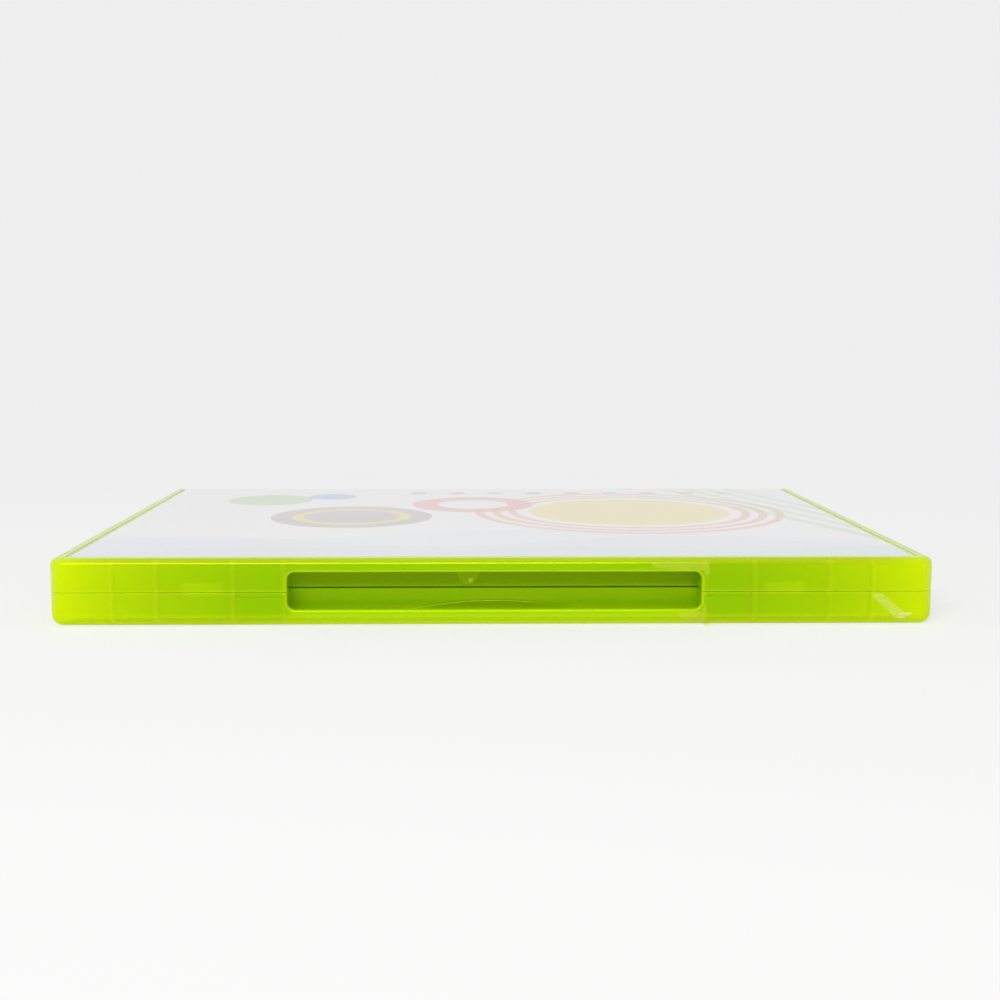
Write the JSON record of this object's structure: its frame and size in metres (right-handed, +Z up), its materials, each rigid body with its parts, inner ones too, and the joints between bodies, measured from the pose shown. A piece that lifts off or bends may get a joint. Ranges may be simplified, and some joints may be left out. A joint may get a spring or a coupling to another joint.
{
  "type": "game disc case",
  "caption": "Thin hinged plastic keep case with a film-covered printed sheet, a finger slot in the opening edge, and a disc and booklet inside.",
  "frame": {"origin": "centre of the closed case's outline, on the table it lies on", "axes": "+X along the spine, towards the top of the cover; -Y the opening edge, +Y the spine; +Z up, out of the front cover"},
  "size_m": [0.19, 0.135, 0.0146],
  "materials": {
    "green_polypropylene": "translucent, smooth",
    "disc": "glossy, mirrored",
    "booklet_paper": "semi-gloss",
    "staple_wire": "drawn wire",
    "printed_sheet": "semi-gloss print",
    "clear_film": "clear"
  },
  "bodies": {
    "tray": {"back_tray": "green_polypropylene", "game_disc": "disc", "cover_sheet_back": "printed_sheet", "film_back": "clear_film"},
    "button": {"hub_button": "green_polypropylene"},
    "spine": {"spine": "green_polypropylene", "cover_sheet_spine": "printed_sheet", "film_spine": "clear_film"},
    "cover": {"front_cover": "green_polypropylene", "manual": "booklet_paper", "manual_staples": "staple_wire", "cover_sheet_front": "printed_sheet", "film_front": "clear_film"}
  },
  "joints": [
    {"name": "spine_hinge", "type": "hinge", "parent": "tray", "child": "spine", "pos_m": [0, 0.06645, 0.00105], "axis": [-1, 0, 0], "range_deg": [0, 90]},
    {"name": "cover_hinge", "type": "hinge", "parent": "spine", "child": "cover", "pos_m": [0, 0.06645, 0.01355], "axis": [-1, 0, 0], "range_deg": [0, 90]},
    {"name": "hub_press", "type": "slide", "parent": "tray", "child": "button", "axis": [0, 0, -1], "range_m": [0, 0.0012], "stiffness_N_per_m": 600}
  ]
}
